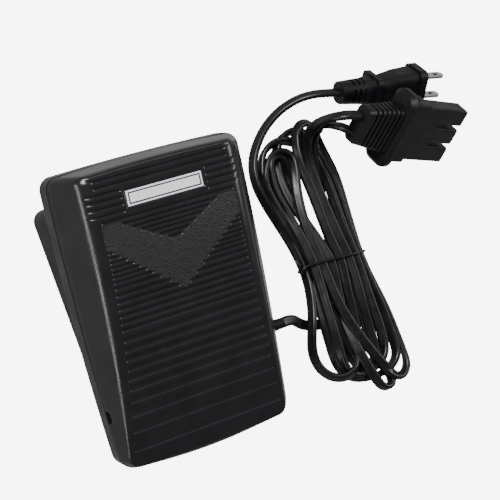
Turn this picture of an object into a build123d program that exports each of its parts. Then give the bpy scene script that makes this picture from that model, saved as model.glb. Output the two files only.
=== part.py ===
from build123d import *
import os
from math import sin, cos, tan, radians, pi

# Foot pedal of a sewing machine with its two flat twin leads, millimetres.
# +X is to the right, +Y runs from the heel to the toe, +Z is up.
# The origin is on the floor under the middle of the pedal.
# The treadle is the moving shell. It is drawn in its own tilted frame: u across, v towards the
# toe and w square to its parting line, which lies at w = 0.

# ---- treadle ----
TILT = 13.0                 # the treadle's slope at rest, degrees
HALF_LENGTH = 81.0
HEEL_EDGE_Z = 16.0          # height of the parting line at the heel
TREADLE_Y = -1.2            # puts the box of the whole pedal evenly about Y = 0
TOE_HALF, MID_HALF, HEEL_HALF = 55.3, 54.6, 50.5    # half widths at the parting line
TOE_BULGE, HEEL_BULGE = 1.1, 3.5                    # how far the ends bow out in the middle
TOE_RISE, MID_RISE, HEEL_RISE = 18.7, 16.7, 4.0     # height of the top face over the parting line
SIDE_DRAFT, END_DRAFT = 32.0, 15.0                  # slope of the cover's walls, degrees
TOE_CORNER, HEEL_CORNER = 7.0, 9.0
SHOULDER = 6.0              # rounding between the cover's walls and its top face
WALL = 2.5
SKIRT_DEPTH, SKIRT_WALL = 11.0, 2.0
SEAM = 0.8                  # height and depth of the shadow line between cover and skirt
NOTCH_V, NOTCH_L, NOTCH_H = -48.0, 7.0, 1.2         # pry notch in the cover's left wall

# ---- ribbed tread on the cover; every v is a groove's middle ----
GROOVE_DEPTH = 0.5
SHOULDER_SHARE = 0.28       # width of the shoulder as a share of the rise
TOE_V, TOE_PITCH, TOE_GROOVE, TOE_COUNT = 74.4, 3.55, 1.4, 7
CHEVRON_V, CHEVRON_PITCH, CHEVRON_GROOVE, CHEVRON_COUNT = 50.2, 2.52, 1.15, 12
CHEVRON_OUTER, CHEVRON_OUTER_SLOPE = 9.5, 0.80      # the plain chevron lies between two V lines:
CHEVRON_INNER, CHEVRON_INNER_SLOPE = 35.5, 0.55     # v = start + slope * |u|
MID_V, MID_PITCH, MID_GROOVE, MID_COUNT = 19.4, 3.65, 1.6, 7
HEEL_V, HEEL_PITCH, HEEL_GROWTH, HEEL_COUNT = -6.5, 5.1, 1.17, 10
HEEL_EVEN = 4               # grooves at an even pitch before the pitch starts to grow
SCALLOP_REACH = 5.0         # how far the grooves beside the label run over the shoulder

# ---- label plate ----
LABEL_V, LABEL_HALF_W, LABEL_HALF_H, LABEL_T = 62.2, 21.5, 4.0, 0.6
LABEL_PLAY = 0.5

# ---- cover fittings ----
SCREW_SPOTS = [(-40, 73.2), (40, 73.2), (-36, -71.5), (36, -71.5)]
TAB_T = 2.0                 # thickness of the skirt's screw tabs
SPRING_SPOTS = [(-30, 44), (30, 44)]
SPRING_SEAT_W = 6.0
SPRING_PEG_R, SPRING_PEG_L = 2.2, 2.5
BRACKET_V, BRACKET_W = -60.0, 3.0       # plinth that carries the hinge bracket
PLINTH_HALF_U, PLINTH_HALF_V = 38.0, 6.0
PUSHER_V, PUSHER_L, PUSHER_HALF_U, PUSHER_W = 16.5, 7.0, 4.0, 8.0   # post over the slide resistor

# ---- hinge ----
PIVOT_Y, PIVOT_Z = -58.0, 14.0
PIN_R, PIN_PLAY = 2.0, 0.05
EAR_U, EAR_T, EAR_R = 30.0, 1.5, 4.2    # the steel bracket's ears, inside the tray's lugs
PLATE_T = 1.5
BRACKET_SCREW_U = 18.0
LUG_X, LUG_T, LUG_R = 38.0, 5.0, 4.6    # the tray's own bearing lugs

# ---- base tray ----
FOOT_H, FOOT_R, FOOT_SEAT = 1.5, 6.0, 0.6
FOOT_SPOTS = [(-38, -54), (38, -54), (-42, 56), (42, 56)]
BASE_TOE_Y, BASE_HEEL_Y = 68.4, -67.5
BASE_TOE_HALF, BASE_HEEL_HALF = 51.5, 45.8
BASE_CORNER = 7.0
BASE_DRAFT = 8.0
BASE_FLOOR, BASE_WALL = 2.2, 2.2
BASE_LIP_W = -7.5           # top edge of the tray, in the treadle's w
FLOOR_Z = FOOT_H + BASE_FLOOR

# ---- return springs and travel stops ----
SPRING_R, SPRING_WIRE, SPRING_TURNS = 5.0, 0.6, 8
SPRING_BASE_Z = FLOOR_Z + 2.0
SPRING_LEAD = 1.6           # the springs stand this far ahead, half of what their seats swing
STOP_X, STOP_Y = 14.0, 52.0
STOP_POST_TOP, STOP_TOP = 43.0, 49.5

# ---- circuit board ----
BOARD_X, BOARD_Y, BOARD_Z, BOARD_T = 58.0, 52.0, 9.0, 1.6
BOARD_MID_Y = -1.0
BOARD_TOP = BOARD_Z + BOARD_T
RAIL_X, RAIL_Y, RAIL_DEPTH, RAIL_TOP = 18.0, 18.5, 10.0, 36.0       # upright slide resistor
CARRIAGE_LOW, CARRIAGE_H, STEM_GAP = 26.0, 8.0, 0.5
SINK_AT, SINK_HALF, SINK_DEPTH, SINK_H = (-12.0, -8.0), 12.0, 9.0, 18.0
SINK_FINS = (-11, -6, -1, 4, 9)
TERMINAL_X = (7.5, 14.5)

# ---- lead entry: clamp, strain relief, core wires ----
CORD_R = 2.3                # the flat twin leads are drawn as round cords of the same section
LEAD_Y, LEAD_Z = -30.5, 8.8
RELIEF_IN, RELIEF_WALL, RELIEF_OUT = 41.4, 54.0, 68.0
CLAMP_X, CLAMP_HALF_Y = 34.0, 8.5
LEAD_END_X = CLAMP_X - 3.5  # the sheath is stripped off just past the clamp
CORE_R, CORE_GAP = 0.7, 0.9

# ---- mains plug, rolled on its edge on the floor ----
PLUG_AT = Plane(origin=(144.6, 86.9, 18.1), x_dir=(0.989, -0.14, -0.04), z_dir=(0.06, 0.65, -0.757))
PLUG_L = 56.0
BLADE_GAP, BLADE_W, BLADE_T, BLADE_L, BLADE_ROOT = 12.7, 6.3, 1.5, 17.0, 12.0
RELIEF_SLOTS = (7, 10.5, 14)

# ---- machine connector, leaning on the plug ----
CONNECTOR_AT = Plane(origin=(134.8, 63.2, 43.5), x_dir=(0.922, -0.20, -0.331), z_dir=(-0.061, 0.769, -0.637))
GRIP_L, FLANGE_T, NECK_L, BODY_L, FINGER_L = 27.0, 8.0, 11.0, 27.0, 20.0
FLANGE_HALF_Y, FLANGE_HALF_Z, FLANGE_BEVEL = 24.0, 10.0, 2.5
FRONT_HALF_Y, FRONT_HALF_Z = 18.4, 5.6
FINGER_GAP, SOCKET_HALF = 2.4, 2.6
LEAD_SPACING = 12.0
RIBS, RIB_START, RIB_PITCH, RIB_SLOT = 6, 5.0, 3.45, 1.5

# ---- cords outside the pedal; every route is a list of points on the cord's middle ----
HANK_H = 12.0
HANK_OUTLINE = [
    (82, 52), (84, 30), (89, 8), (92, -8), (92, -28), (93, -50), (99, -68), (112, -82), (128, -84),
    (141, -72), (143, -52), (138, -30), (134, -8), (132, 12), (133, 38), (133, 62), (126, 78), (108, 74), (90, 68),
]
TIE_R, TIE_LEFT, TIE_RIGHT, TIE_Y, TIE_SLANT = 0.8, 90.0, 136.0, -7.5, 2.0
LEAD_DROP = [(68, -30.5, 8.8), (75, -29.8, 6.6), (81, -34.8, 3.2), (87, -37.4, 2.4), (95, -39.0, 2.4)]
PLUG_LEAD = [
    (144.6, 86.9, 18.1), (132.3, 90.0, 15.5), (121.2, 90.6, 9.6), (107.3, 86.3, 4.4), (94.5, 77.0, 2.4),
    (84.0, 63.5, 2.4), (81.5, 50.0, 2.4), (84.0, 37.0, 2.4), (88.0, 25.0, 2.6),
]
LOOSE_STRAND = [
    (94.5, -10.0, 4.5), (93.0, -20.0, 6.2), (89.5, -31.0, 8.0), (86.5, -41.5, 8.0), (84.5, -52.5, 4.4),
    (86.0, -63.0, 2.6), (92.0, -69.5, 2.4), (101.0, -70.5, 2.6),
]
LEAD_A_FALL = [
    (128.0, 69.5, 46.5), (121.5, 71.0, 40.5), (119.0, 72.8, 30.5), (118.2, 71.5, 20.5), (116.2, 62.0, 10.5),
]
LEAD_B_FALL = [(127.5, 64.0, 34.5), (124.2, 67.6, 27.0), (122.8, 68.6, 18.5), (121.6, 64.5, 10.0)]

TREAD = Plane(
    origin=(0, TREADLE_Y, HEEL_EDGE_Z + HALF_LENGTH * sin(radians(TILT))),
    x_dir=(1, 0, 0),
    z_dir=(0, -sin(radians(TILT)), cos(radians(TILT))),
).location


# ---------------------------------------------------------------- helpers
def save(node, shape, color="gray"):
    """Write one node; a list of solids becomes a group in the same file."""
    if isinstance(shape, list):
        shape = Compound(children=[solid for item in shape for solid in item.solids()])
    shape.label = node
    shape.color = Color(color)
    export_step(shape, f"parts/{node}.step")
    print(f"{node}: {shape.volume:.0f} mm3")


def rod(start, end, radius, tip_radius=None):
    """A round bar, or a cone, from one point to another."""
    axis = Vector(*end) - Vector(*start)
    plane = Plane(origin=start, z_dir=axis.normalized())
    align = (Align.CENTER, Align.CENTER, Align.MIN)
    if tip_radius is None:
        return plane * Cylinder(radius, axis.length, align=align)
    return plane * Cone(radius, tip_radius, axis.length, align=align)


def cross_rod(x, y, z, radius, length):
    """A round bar along X with its middle at a point."""
    return Pos(x, y, z) * Rot(0, 90, 0) * Cylinder(radius, length)


def block(low, high, rounding=0.0):
    """A box between two opposite corners, with its upright edges rounded."""
    size = [abs(b - a) for a, b in zip(low, high)]
    middle = [(a + b) / 2 for a, b in zip(low, high)]
    solid = Pos(*middle) * Box(*size)
    if rounding:
        solid = fillet(solid.edges().filter_by(Axis.Z), rounding)
    return solid


def slab(x_low, x_high, half_y, half_z, corner):
    """A plate across the X axis, with rounded corners."""
    face = Plane.YZ.offset(x_low) * RectangleRounded(2 * half_y, 2 * half_z, corner)
    return extrude(face, x_high - x_low)


def tapered(x_low, x_high, low, high):
    """A form between two rounded rectangles along X; each is (half_y, half_z, corner)."""
    faces = [
        Plane.YZ.offset(x) * RectangleRounded(2 * half_y, 2 * half_z, corner)
        for x, (half_y, half_z, corner) in ((x_low, low), (x_high, high))
    ]
    return loft(faces)


def pan_screw(length, shank=1.1, head=2.6, head_h=1.6):
    """A screw with its shank pointing up from z = 0 and its cross-slotted head below."""
    body = Pos(0, 0, -head_h / 2) * Cylinder(head, head_h)
    body = body + Pos(0, 0, length / 2) * Cylinder(shank, length)
    slot = Pos(0, 0, -head_h) * (Box(2.6, 0.6, 1.2) + Box(0.6, 2.6, 1.2))
    return body - slot


def cord_tube(name, points, radius):
    """A tube on straight runs with the largest tangent arcs that its runs allow."""
    corners = [Vector(*p) for p in points]
    radii = []
    for a, b, c in zip(corners, corners[1:], corners[2:]):
        turn = radians((b - a).get_angle(c - b))
        radii.append(0.45 * min((b - a).length, (c - b).length) / tan(turn / 2))
    path = FilletPolyline(*corners, radius=radii)
    section = Plane(origin=path @ 0, z_dir=path % 0) * Circle(radius)
    tube = sweep(section, path=path)
    ratio = tube.volume / (pi * radius ** 2 * path.length)
    print(name, "radii", [round(r, 1) for r in radii], "length", round(path.length, 1), "ratio", round(ratio, 4))
    return tube


def on_treadle(shape):
    """A shape drawn in the treadle's frame, placed in the pedal's own frame."""
    return TREAD * shape


def treadle_point(u, v, w):
    """A point of the treadle's frame in the pedal's own frame."""
    return (TREAD * Pos(u, v, w)).position


def connector_point(x, y):
    """A point of the connector's middle plane in the pedal's own frame."""
    point = (CONNECTOR_AT.location * Pos(x, y, 0)).position
    return (point.X, point.Y, point.Z)


# ---------------------------------------------------------------- treadle forms
def rise(v):
    """Height of the top face over the parting line."""
    s = v / HALF_LENGTH
    return MID_RISE + (TOE_RISE - HEEL_RISE) / 2 * s + ((TOE_RISE + HEEL_RISE) / 2 - MID_RISE) * s * s


def half_width(v):
    """Half width of the treadle at the parting line."""
    s = v / HALF_LENGTH
    return MID_HALF + (TOE_HALF - HEEL_HALF) / 2 * s + ((TOE_HALF + HEEL_HALF) / 2 - MID_HALF) * s * s


def outline(inset=0.0, spread_u=0.0, spread_v=0.0):
    """The treadle's plan: four bowed sides, moved in, or spread sideways or lengthways."""
    out = spread_u - inset
    toe_v = HALF_LENGTH - inset + spread_v
    toe_corner = toe_v - TOE_BULGE
    heel_corner = HEEL_BULGE - toe_v
    toe_u, heel_u = TOE_HALF + out, HEEL_HALF + out
    edges = [
        ThreePointArc((-heel_u, heel_corner), (0, -toe_v), (heel_u, heel_corner)),
        ThreePointArc((heel_u, heel_corner), (MID_HALF + out, 0), (toe_u, toe_corner)),
        ThreePointArc((toe_u, toe_corner), (0, toe_v), (-toe_u, toe_corner)),
        ThreePointArc((-toe_u, toe_corner), (-MID_HALF - out, 0), (-heel_u, heel_corner)),
    ]
    return make_face(Curve() + edges)


def rounded_outline(inset=0.0):
    """The plan with its corners rounded."""
    face = outline(inset)
    face = fillet(face.vertices().sort_by(Axis.Y)[2:], TOE_CORNER - inset * 0.5)
    return fillet(face.vertices().sort_by(Axis.Y)[:2], HEEL_CORNER - inset * 0.5)


def cover_form(inset):
    """The cover's solid form; an inset gives the hollow inside its walls."""
    tall = TOE_RISE + 6
    form = extrude(outline(inset, spread_v=40), tall, taper=SIDE_DRAFT)
    form = form & extrude(outline(inset, spread_u=40), tall, taper=END_DRAFT)
    form = fillet(slanted_edges(form, tall, -1), HEEL_CORNER - inset * 0.5)
    form = fillet(slanted_edges(form, tall, 1), TOE_CORNER - inset * 0.5)
    far = HALF_LENGTH + 10
    crown = Plane.YZ * make_face(Curve() + [
        ThreePointArc((-far, rise(-far) - inset), (0, MID_RISE - inset), (far, rise(far) - inset)),
        Polyline((far, rise(far) - inset), (far, -1), (-far, -1), (-far, rise(-far) - inset)),
    ])
    return form & extrude(crown, 80, both=True)


def slanted_edges(form, tall, end):
    """The two corner edges that climb the drafted walls at one end."""
    edges = [e for e in form.edges() if abs((e @ 0).Z - (e @ 1).Z) > tall / 2]
    return [e for e in edges if (e @ 0.5).Y * end > 0 and abs((e @ 0.5).X) > HEEL_HALF / 2]


# ---------------------------------------------------------------- ribbed tread
def field_half(v):
    """Half width of the ribbed field."""
    return half_width(v) - (tan(radians(SIDE_DRAFT)) + SHOULDER_SHARE) * rise(v)


def chevron_ends(v):
    """Where the inner and the outer V line of the plain chevron stand, in u."""
    inner = (v - CHEVRON_INNER) / CHEVRON_INNER_SLOPE
    outer = (v - CHEVRON_OUTER) / CHEVRON_OUTER_SLOPE
    return max(0.0, inner), max(0.0, outer)


def mirrored(v, width, start, end):
    """A groove on the right and its twin on the left."""
    return [(v, width, side * start, side * end) for side in (-1, 1)]


def groove_list():
    """Every groove as (v, width, start u, end u), from the toe to the heel."""
    grooves = []
    for k in range(TOE_COUNT):
        v = TOE_V - k * TOE_PITCH
        if abs(v - LABEL_V) < LABEL_HALF_H + 2.4:
            grooves += mirrored(v, TOE_GROOVE, LABEL_HALF_W + 2.5, field_half(v) + SCALLOP_REACH)
        else:
            grooves.append((v, TOE_GROOVE, -field_half(v), field_half(v)))
    for k in range(CHEVRON_COUNT):
        v = CHEVRON_V - k * CHEVRON_PITCH
        inner, outer = chevron_ends(v)
        edge = field_half(v)
        if inner > 2:
            grooves.append((v, CHEVRON_GROOVE, -min(inner, edge), min(inner, edge)))
        if outer < edge - 2:
            grooves += mirrored(v, CHEVRON_GROOVE, outer, edge)
    for k in range(MID_COUNT):
        v = MID_V - k * MID_PITCH
        outer = chevron_ends(v)[1]
        if outer > 2:
            grooves += mirrored(v, MID_GROOVE, outer, field_half(v))
        else:
            grooves.append((v, MID_GROOVE, -field_half(v), field_half(v)))
    v, pitch = HEEL_V, HEEL_PITCH
    for k in range(HEEL_COUNT):
        grooves.append((v - pitch * 0.25, pitch * 0.5, -field_half(v), field_half(v)))
        v -= pitch
        if k >= HEEL_EVEN:
            pitch *= HEEL_GROWTH
    return grooves


def groove_cutter(v, width, start, end):
    """A bar half sunk in the crowned top face."""
    slope = rise(v + 0.5) - rise(v - 0.5)
    plane = Plane(origin=((start + end) / 2, v, rise(v)), x_dir=(1, 0, 0), z_dir=(0, -slope, 1))
    return plane * Box(abs(end - start), width, 2 * GROOVE_DEPTH)


# ---------------------------------------------------------------- treadle pieces
def cover_boss(u, v, radius, low):
    """A post inside the cover, from its roof down to w = low."""
    return rod((u, v, low), (u, v, rise(v) - 1), radius)


def make_cover():
    shell = cover_form(0.0)
    shell = fillet(shell.faces().sort_by(Axis.Z)[-1].edges(), SHOULDER)
    shell = shell - cover_form(WALL)
    for u, v in SCREW_SPOTS:
        shell = shell + cover_boss(u, v, 3.2, 0)
    for u, v in SPRING_SPOTS:
        shell = shell + cover_boss(u, v, 7.0, SPRING_SEAT_W)
        shell = shell + cover_boss(u, v, SPRING_PEG_R, SPRING_SEAT_W - SPRING_PEG_L)
    low_v, high_v = BRACKET_V - PLINTH_HALF_V, BRACKET_V + PLINTH_HALF_V
    plinth = block((-PLINTH_HALF_U, low_v, BRACKET_W), (PLINTH_HALF_U, high_v, rise(high_v) - 0.5))
    shell = shell + (plinth & cover_form(1.0))
    pusher_v = PUSHER_V + PUSHER_L
    shell = shell + block((-PUSHER_HALF_U, PUSHER_V, PUSHER_W), (PUSHER_HALF_U, pusher_v, rise(PUSHER_V) - 1))
    for u, v in SCREW_SPOTS:
        shell = shell - Pos(u, v, 2) * Cylinder(1.2, 5)
    for side in (-1, 1):
        shell = shell - Pos(side * BRACKET_SCREW_U, BRACKET_V, BRACKET_W) * Cylinder(1.2, 6)
    shell = shell - [groove_cutter(*groove) for groove in groove_list()]
    recess = Box(2 * LABEL_HALF_W + 2 * LABEL_PLAY, 2 * LABEL_HALF_H + 2 * LABEL_PLAY, 2 * LABEL_T)
    shell = shell - Pos(0, LABEL_V, rise(LABEL_V)) * recess
    return shell - Pos(-half_width(NOTCH_V), NOTCH_V, NOTCH_H / 2) * Box(4, NOTCH_L, NOTCH_H)


def screw_tab(u, v):
    """The skirt's tab under one of the cover's screw bosses, joined to the corner of the wall."""
    side = 1 if u > 0 else -1
    end = 1 if v > 0 else -1
    inner = (u - side * 4.2, v - end * 4, -TAB_T)
    outer = (side * (half_width(v) - 3), end * (HALF_LENGTH - 1.2), 0)
    return block(inner, outer) & (Pos(0, 0, -TAB_T - 1) * extrude(rounded_outline(SEAM), TAB_T + 2))


def make_skirt():
    outer = Pos(0, 0, -SKIRT_DEPTH) * extrude(rounded_outline(), SKIRT_DEPTH - SEAM)
    tongue = Pos(0, 0, -SEAM) * extrude(rounded_outline(SEAM), SEAM)
    hollow = Pos(0, 0, -SKIRT_DEPTH) * extrude(rounded_outline(SKIRT_WALL), SKIRT_DEPTH)
    ring = (outer + tongue) - hollow
    for u, v in SCREW_SPOTS:
        ring = ring + screw_tab(u, v)
    for u, v in SCREW_SPOTS:
        ring = ring - Pos(u, v, -TAB_T / 2) * Cylinder(1.6, 4)
    return ring


def make_label():
    return Pos(0, LABEL_V, rise(LABEL_V) - LABEL_T / 2) * Box(2 * LABEL_HALF_W, 2 * LABEL_HALF_H, LABEL_T)


def make_bracket():
    """A folded steel channel: a plate under the cover's plinth and two ears on the hinge pin."""
    pin_v = (PIVOT_Y - TREADLE_Y) * cos(radians(TILT)) + (PIVOT_Z - TREAD.position.Z) * sin(radians(TILT))
    pin_w = -(PIVOT_Y - TREADLE_Y) * sin(radians(TILT)) + (PIVOT_Z - TREAD.position.Z) * cos(radians(TILT))
    bracket = block((-EAR_U, BRACKET_V - EAR_R, BRACKET_W - PLATE_T), (EAR_U, BRACKET_V + EAR_R, BRACKET_W))
    for side in (-1, 1):
        ear = block((side * EAR_U, pin_v - EAR_R, pin_w), (side * (EAR_U - EAR_T), pin_v + EAR_R, BRACKET_W))
        bracket = bracket + ear + cross_rod(side * (EAR_U - EAR_T / 2), pin_v, pin_w, EAR_R, EAR_T)
    bracket = bracket - cross_rod(0, pin_v, pin_w, PIN_R + PIN_PLAY, 80)
    for side in (-1, 1):
        bracket = bracket - Pos(side * BRACKET_SCREW_U, BRACKET_V, BRACKET_W) * Cylinder(1.3, 6)
    return bracket


# ---------------------------------------------------------------- base tray, feet, springs, stops
def tray_plan(inset=0.0):
    points = [
        (-BASE_HEEL_HALF + inset, BASE_HEEL_Y + inset),
        (BASE_HEEL_HALF - inset, BASE_HEEL_Y + inset),
        (BASE_TOE_HALF - inset, BASE_TOE_Y - inset),
        (-BASE_TOE_HALF + inset, BASE_TOE_Y - inset),
    ]
    face = make_face(Polyline(*points, points[0]))
    return fillet(face.vertices(), BASE_CORNER - inset * 0.5)


def tray_form(inset, floor):
    """The tray's drafted form, up from a floor."""
    return Pos(0, 0, floor) * extrude(tray_plan(inset), 46, taper=BASE_DRAFT)


def board_corners():
    half_x, half_y = BOARD_X / 2 - 4, BOARD_Y / 2 - 4
    return [(sx * half_x, BOARD_MID_Y + sy * half_y) for sx in (-1, 1) for sy in (-1, 1)]


def spring_feet():
    return [(u, treadle_point(u, v, SPRING_SEAT_W - SPRING_PEG_L / 2).Y + SPRING_LEAD) for u, v in SPRING_SPOTS]


def clamp_holes():
    return [(CLAMP_X, LEAD_Y + side * CLAMP_HALF_Y) for side in (-1, 1)]


def tray_post(x, y, top, radius):
    return rod((x, y, FLOOR_Z - 0.5), (x, y, top), radius)


def make_tray():
    tray = tray_form(0, FOOT_H) - tray_form(BASE_WALL + BASE_FLOOR * tan(radians(BASE_DRAFT)), FLOOR_Z)
    tray = tray - on_treadle(block((-90, -120, BASE_LIP_W), (90, 120, BASE_LIP_W + 90)))
    for side in (-1, 1):
        lug = block((side * LUG_X - LUG_T / 2, PIVOT_Y - LUG_R, FLOOR_Z - 0.5),
                    (side * LUG_X + LUG_T / 2, PIVOT_Y + LUG_R, PIVOT_Z))
        tray = tray + lug + cross_rod(side * LUG_X, PIVOT_Y, PIVOT_Z, LUG_R, LUG_T)
    tray = tray - cross_rod(0, PIVOT_Y, PIVOT_Z, PIN_R + 0.02, 2 * LUG_X + LUG_T + 1)
    posts = [tray_post(x, y, BOARD_Z, 3.0) for x, y in board_corners()]
    posts += [tray_post(x, y, SPRING_BASE_Z, 7.0) for x, y in spring_feet()]
    posts += [tray_post(x, y, SPRING_BASE_Z + 6, 3.4) for x, y in spring_feet()]
    posts += [tray_post(x, y, LEAD_Z - 2.6, 2.4) for x, y in clamp_holes()]
    posts += [tray_post(side * STOP_X, STOP_Y, STOP_POST_TOP, 4.5) for side in (-1, 1)]
    for post in posts:
        tray = tray + post
    for x, y in board_corners():
        tray = tray - rod((x, y, BOARD_Z - 4), (x, y, BOARD_Z + 1), 1.1)
    for x, y in clamp_holes():
        tray = tray - rod((x, y, LEAD_Z - 6), (x, y, LEAD_Z + 1), 1.1)
    for side in (-1, 1):
        tray = tray - rod((side * STOP_X, STOP_Y, STOP_POST_TOP - 5), (side * STOP_X, STOP_Y, STOP_TOP), 1.6)
    tray = tray - rod((RELIEF_IN - 3, LEAD_Y, LEAD_Z), (RELIEF_WALL, LEAD_Y, LEAD_Z), 4.25)
    for x, y in FOOT_SPOTS:
        tray = tray - rod((x, y, FOOT_H - 0.1), (x, y, FOOT_H + FOOT_SEAT), FOOT_R + 0.1)
    return tray


def make_foot(x, y):
    """A rubber disc with a shallow suction hollow underneath."""
    return rod((x, y, 0), (x, y, FOOT_H + FOOT_SEAT), FOOT_R) - rod((x, y, -0.1), (x, y, 0.5), 3.5)


def make_spring(x, y):
    """A compression spring between the tray and the cover's seat, with its coils evenly spread."""
    seat_low = treadle_point(0, SPRING_SPOTS[0][1] - SPRING_R - SPRING_WIRE, SPRING_SEAT_W).Z
    height = seat_low - SPRING_BASE_Z - 2 * SPRING_WIRE - 0.4
    helix = Helix(height / SPRING_TURNS, height, SPRING_R)
    section = Plane(origin=helix @ 0, z_dir=helix % 0) * Circle(SPRING_WIRE)
    return Pos(x, y, SPRING_BASE_Z + SPRING_WIRE + 0.2) * sweep(section, path=helix)


def make_stop(x):
    """A rubber buffer plugged into its post."""
    cap = rod((x, STOP_Y, STOP_POST_TOP), (x, STOP_Y, STOP_TOP), 4.5, 3.2)
    return cap + rod((x, STOP_Y, STOP_POST_TOP - 4), (x, STOP_Y, STOP_POST_TOP), 1.5)


# ---------------------------------------------------------------- speed control
def make_board():
    low = (-BOARD_X / 2, BOARD_MID_Y - BOARD_Y / 2, BOARD_Z)
    board = block(low, (BOARD_X / 2, BOARD_MID_Y + BOARD_Y / 2, BOARD_TOP), 2)
    for x, y in board_corners():
        board = board - rod((x, y, BOARD_Z - 1), (x, y, BOARD_TOP + 1), 1.5)
    return board


def make_resistor_housing():
    """An upright channel, open at the top and slotted in front."""
    low = (-RAIL_X / 2, RAIL_Y - RAIL_DEPTH / 2, BOARD_TOP)
    housing = block(low, (RAIL_X / 2, RAIL_Y + RAIL_DEPTH / 2, RAIL_TOP), 1)
    housing = housing - block((-6, RAIL_Y - 3.3, BOARD_TOP + 3), (6, RAIL_Y + 3.3, RAIL_TOP + 1))
    return housing - block((-2.5, RAIL_Y - 6, BOARD_TOP + 4), (2.5, RAIL_Y, RAIL_TOP - 4))


def make_carriage():
    """The sliding block with the stem that the cover's post pushes down."""
    top = CARRIAGE_LOW + CARRIAGE_H
    stem_top = treadle_point(0, PUSHER_V, PUSHER_W).Z - STEM_GAP
    carriage = block((-5.6, RAIL_Y - 2.9, CARRIAGE_LOW), (5.6, RAIL_Y + 2.3, top), 0.5)
    return carriage + rod((0, RAIL_Y - 0.5, top - 1), (0, RAIL_Y - 0.5, stem_top), 2.2)


def make_heat_sink():
    x, y = SINK_AT
    sink = block((x - SINK_HALF, y, BOARD_TOP), (x + SINK_HALF, y + 2, BOARD_TOP + SINK_H))
    for dx in SINK_FINS:
        sink = sink + block((x + dx - 0.6, y + 2, BOARD_TOP), (x + dx + 0.6, y + SINK_DEPTH, BOARD_TOP + SINK_H))
    return sink


def make_triac():
    """A flat-tabbed switch held against the heat sink, on three legs."""
    x, y = SINK_AT
    body = block((x - 5, y - 4.5, BOARD_TOP + 4), (x + 5, y, BOARD_TOP + 14), 0.4)
    for dx in (-2.5, 0, 2.5):
        body = body + block((x + dx - 0.4, y - 2.6, BOARD_TOP), (x + dx + 0.4, y - 2, BOARD_TOP + 5))
    return body


def make_resistor(x, y):
    """A carbon resistor on two bent legs."""
    middle = BOARD_TOP + 2
    body = rod((x, y, middle), (x + 9, y, middle), 1.7)
    for leg_x in (x + 0.8, x + 8.2):
        body = body + rod((leg_x, y, BOARD_TOP), (leg_x, y, middle), 0.4)
    return body


def make_terminal():
    terminal = block((4, -26, BOARD_TOP), (18, -18, BOARD_TOP + 9), 0.5)
    for x in TERMINAL_X:
        terminal = terminal - rod((x, -22, BOARD_TOP + 4), (x, -22, BOARD_TOP + 10), 1.8)
        terminal = terminal - block((x - 1.5, -27, BOARD_TOP + 2), (x + 1.5, -22, BOARD_TOP + 5))
    return terminal


# ---------------------------------------------------------------- lead entry
def make_clamp():
    """A saddle bar over the lead, on two spacers."""
    half_y = CLAMP_HALF_Y + 3
    bar = block((CLAMP_X - 3.5, LEAD_Y - half_y, LEAD_Z + 2.3), (CLAMP_X + 3.5, LEAD_Y + half_y, LEAD_Z + 4.4), 2)
    for spot in clamp_holes():
        bar = bar + rod((*spot, LEAD_Z - 2.6), (*spot, LEAD_Z + 3), 2.4)
        bar = bar - rod((*spot, LEAD_Z - 3), (*spot, LEAD_Z + 6), 1.4)
    return bar


def make_relief():
    """A moulded sleeve: a flange inside the wall, a neck through it and a long taper outside."""
    neck = RELIEF_IN + 8
    relief = rod((RELIEF_IN, LEAD_Y, LEAD_Z), (RELIEF_IN + 1.6, LEAD_Y, LEAD_Z), 4.9)
    relief = relief + rod((RELIEF_IN, LEAD_Y, LEAD_Z), (neck, LEAD_Y, LEAD_Z), 4.1)
    relief = relief + rod((neck, LEAD_Y, LEAD_Z), (RELIEF_OUT, LEAD_Y, LEAD_Z), 4.1, 3.0)
    return relief - rod((RELIEF_IN - 1, LEAD_Y, LEAD_Z), (RELIEF_WALL, LEAD_Y, LEAD_Z), CORD_R)


def make_core_wire(x, side):
    y = LEAD_Y + side * CORE_GAP
    return cord_tube("core_wire", [
        (LEAD_END_X, y, LEAD_Z), (LEAD_END_X - 5, y - 0.3, LEAD_Z + 0.8), (x + 7, y - 0.2, BOARD_TOP + 3),
        (x + 0.5, -29.6, BOARD_TOP + 3.6), (x, -24.5, BOARD_TOP + 3.5),
    ], CORE_R)


# ---------------------------------------------------------------- plug and connector
def make_plug():
    """A moulded plug: slotted relief, waisted grip with a finger flange, and a front plate."""
    body = tapered(0, 15, (6.6, 6.6, 6.0), (7.6, 7.4, 6.5))
    for x in RELIEF_SLOTS:
        groove = slab(x, x + 1.4, 9, 9, 2) - slab(x - 1, x + 3, 5.6, 5.0, 3.5)
        body = body - (groove & (Box(40, 8.6, 40) + Box(40, 40, 8.6)))
    body = body + tapered(15, 22, (7.6, 7.4, 6.5), (8.6, 8.2, 5.0))
    body = body + slab(21.5, 24.5, 9.8, 9.8, 3.5)
    body = body + tapered(24.5, 38, (7.0, 7.6, 4.5), (10.4, 8.2, 4.5))
    body = body + tapered(38, 52, (10.4, 8.2, 4.5), (11.8, 8.8, 4.5))
    body = body + slab(51, PLUG_L, 12.8, 9.6, 4.5)
    for side in (-1, 1):
        y = side * BLADE_GAP / 2
        body = body - block((PLUG_L - BLADE_ROOT, y - BLADE_T / 2, -BLADE_W / 2),
                            (PLUG_L + 1, y + BLADE_T / 2, BLADE_W / 2))
    return body


def make_blade(y):
    """One flat blade with a chamfered tip and its locking hole."""
    blade = block((PLUG_L - BLADE_ROOT, y - BLADE_T / 2, -BLADE_W / 2),
                  (PLUG_L + BLADE_L, y + BLADE_T / 2, BLADE_W / 2))
    tips = [e for e in blade.edges().filter_by(Axis.Y) if (e @ 0.5).X > PLUG_L]
    blade = chamfer(tips, 1.6)
    return blade - Pos(PLUG_L + 11.5, y, 0) * Rot(90, 0, 0) * Cylinder(1.6, 4)


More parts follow.
